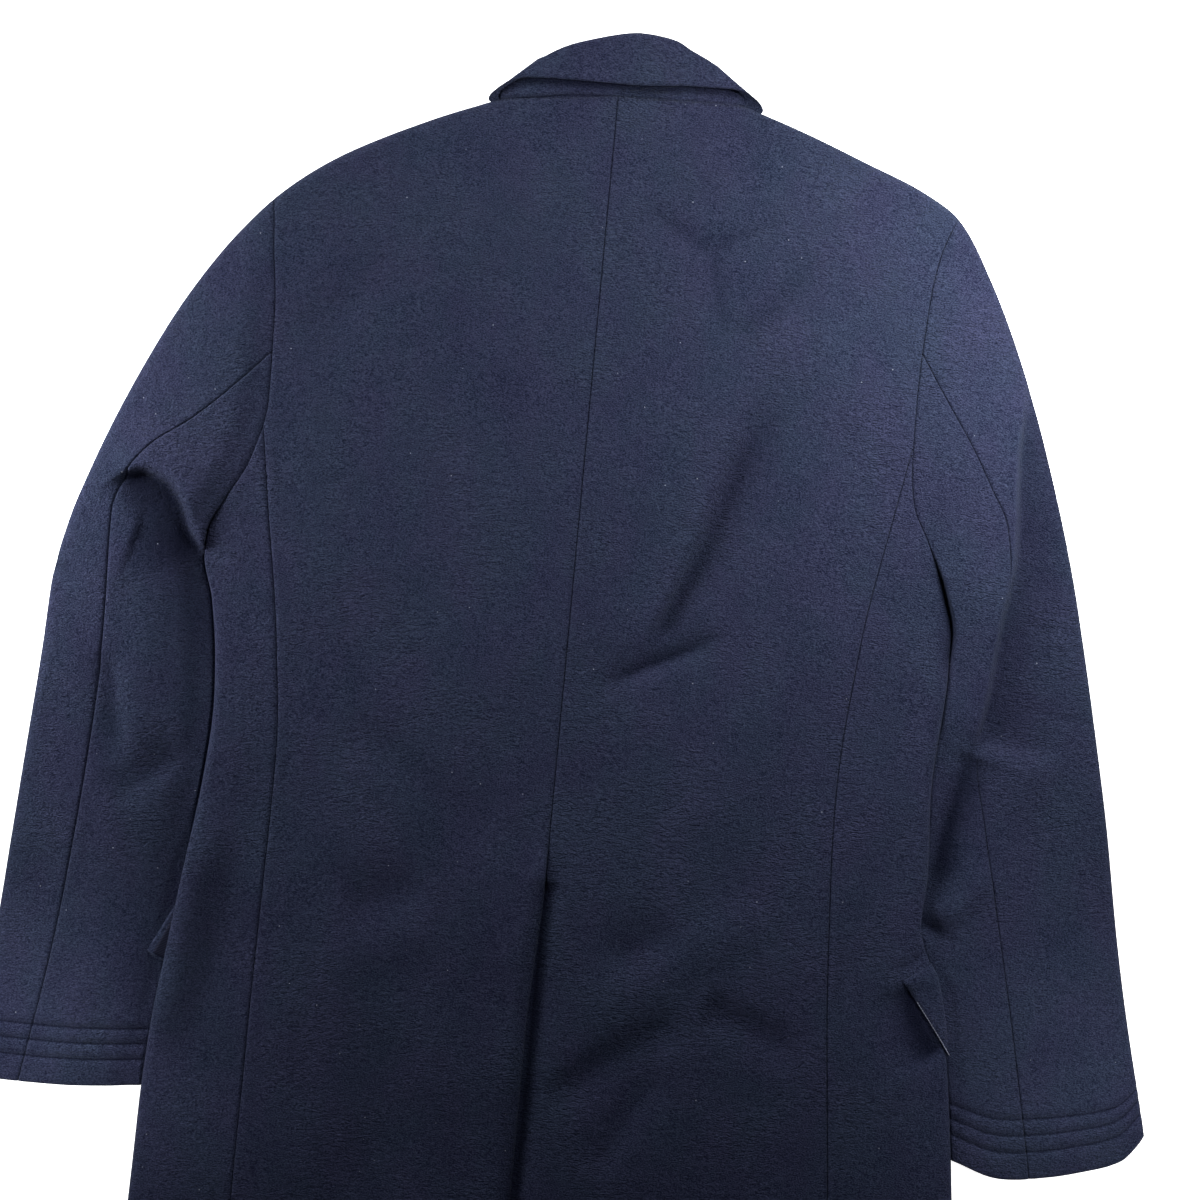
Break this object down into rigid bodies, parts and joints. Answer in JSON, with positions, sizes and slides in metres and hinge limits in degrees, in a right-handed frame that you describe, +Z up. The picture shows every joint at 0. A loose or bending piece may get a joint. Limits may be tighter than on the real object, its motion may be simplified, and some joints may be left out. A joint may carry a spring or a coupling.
{
  "type": "overcoat",
  "caption": "Navy wool overcoat laid flat on its fronts, back upwards, with turned-down collar, two-piece sleeves, stitched cuffs, flap pockets and a centre vent.",
  "frame": {"origin": "on the underside, on the line of the centre back, 480 mm below the nape seam, where the coat rests", "axes": "+Z up, out of the back; +Y towards the collar; +X towards the wearer's right sleeve, which is the viewer's right"},
  "size_m": [0.8253, 1.0448, 0.0164],
  "materials": {
    "melton": "brushed matt wool",
    "satin": "soft twill satin"
  },
  "bodies": {
    "root": {"back_left": "melton", "back_right": "melton", "side_left": "melton", "side_right": "melton", "front_left": "melton", "front_right": "melton", "lapel_left": "melton", "lapel_right": "melton", "top_sleeve_left": "melton", "under_sleeve_left": "melton", "top_sleeve_right": "melton", "under_sleeve_right": "melton", "collar_fall": "melton", "collar_stand": "melton", "flap_left": "melton", "flap_right": "melton", "flap_lining_left": "satin"}
  },
  "joints": []
}
